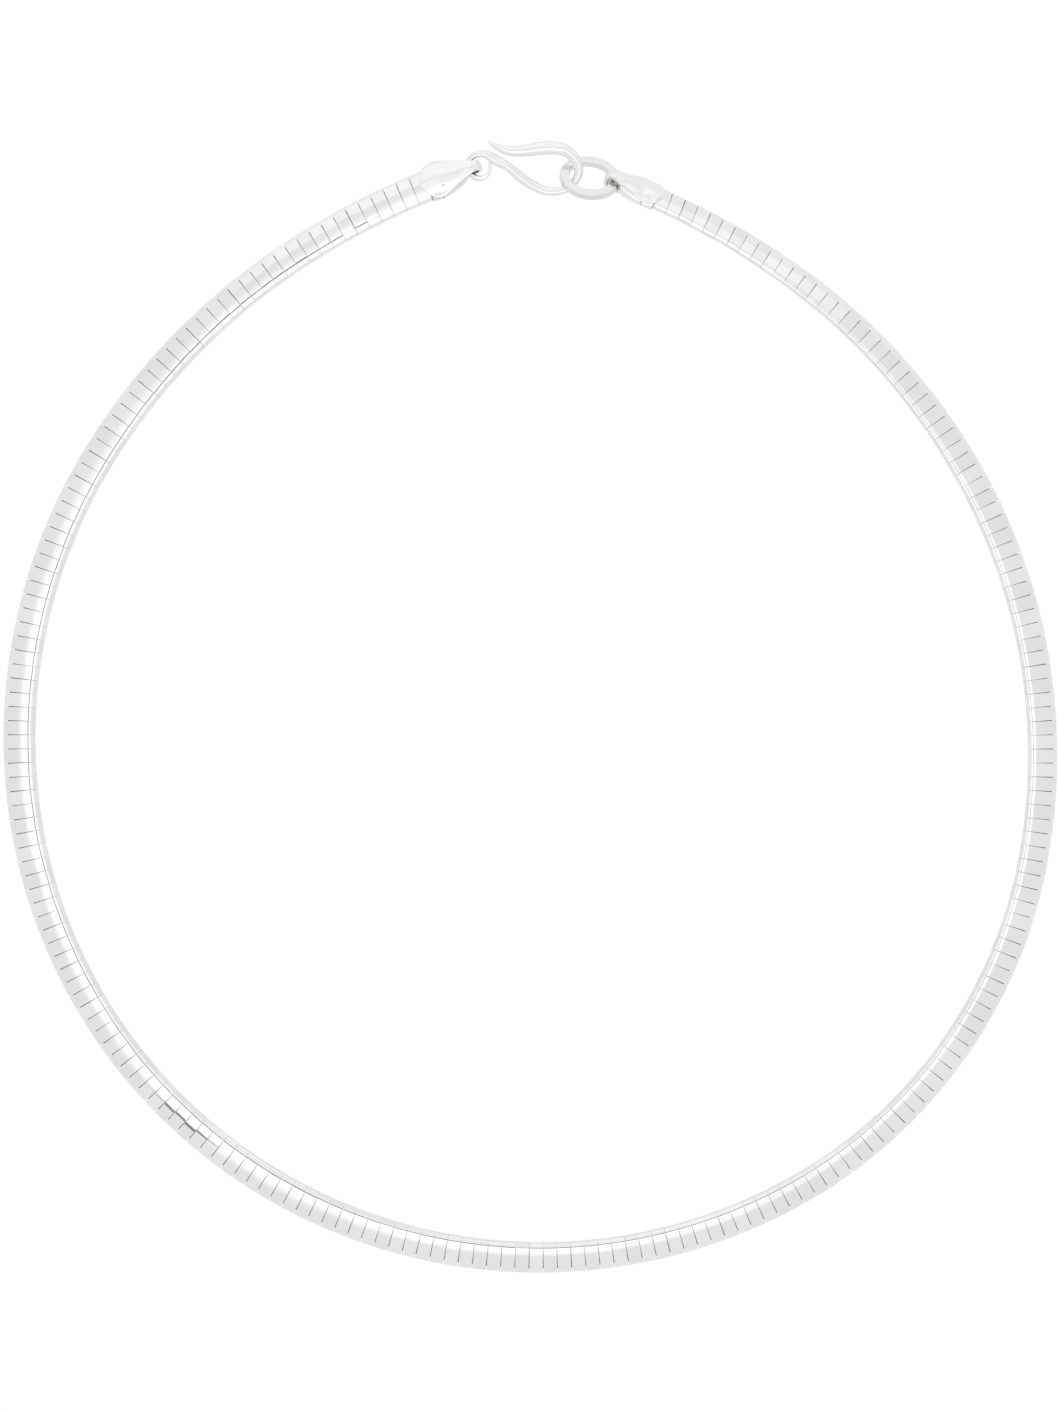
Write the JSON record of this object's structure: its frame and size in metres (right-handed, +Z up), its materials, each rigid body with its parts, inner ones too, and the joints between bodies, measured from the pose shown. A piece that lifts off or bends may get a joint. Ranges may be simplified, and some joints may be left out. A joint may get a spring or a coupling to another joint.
{
  "type": "collar necklace",
  "caption": "Domed omega chain collar necklace, closed by a forged S-hook through a round ring between folded end caps.",
  "frame": {"origin": "on the surface that the collar lies on, under the middle of its bounding box", "axes": "+Z up out of that surface, +Y from the front of the collar to its clasp, +X to the wearer's left"},
  "size_m": [0.1283, 0.1377, 0.0056],
  "materials": {
    "plate_silver": "silver sheet, rolled and bright polished",
    "woven_silver": "fine silver wire, woven flat",
    "cap_silver": "silver sheet, folded by hand and soft polished",
    "wire_silver": "silver wire, forged and soft polished"
  },
  "bodies": {
    "root": {"omega_plates": "plate_silver", "mesh_core": "woven_silver", "hook_end_cap": "cap_silver", "ring_end_cap": "cap_silver", "s_hook": "wire_silver", "clasp_ring": "wire_silver"}
  },
  "joints": []
}
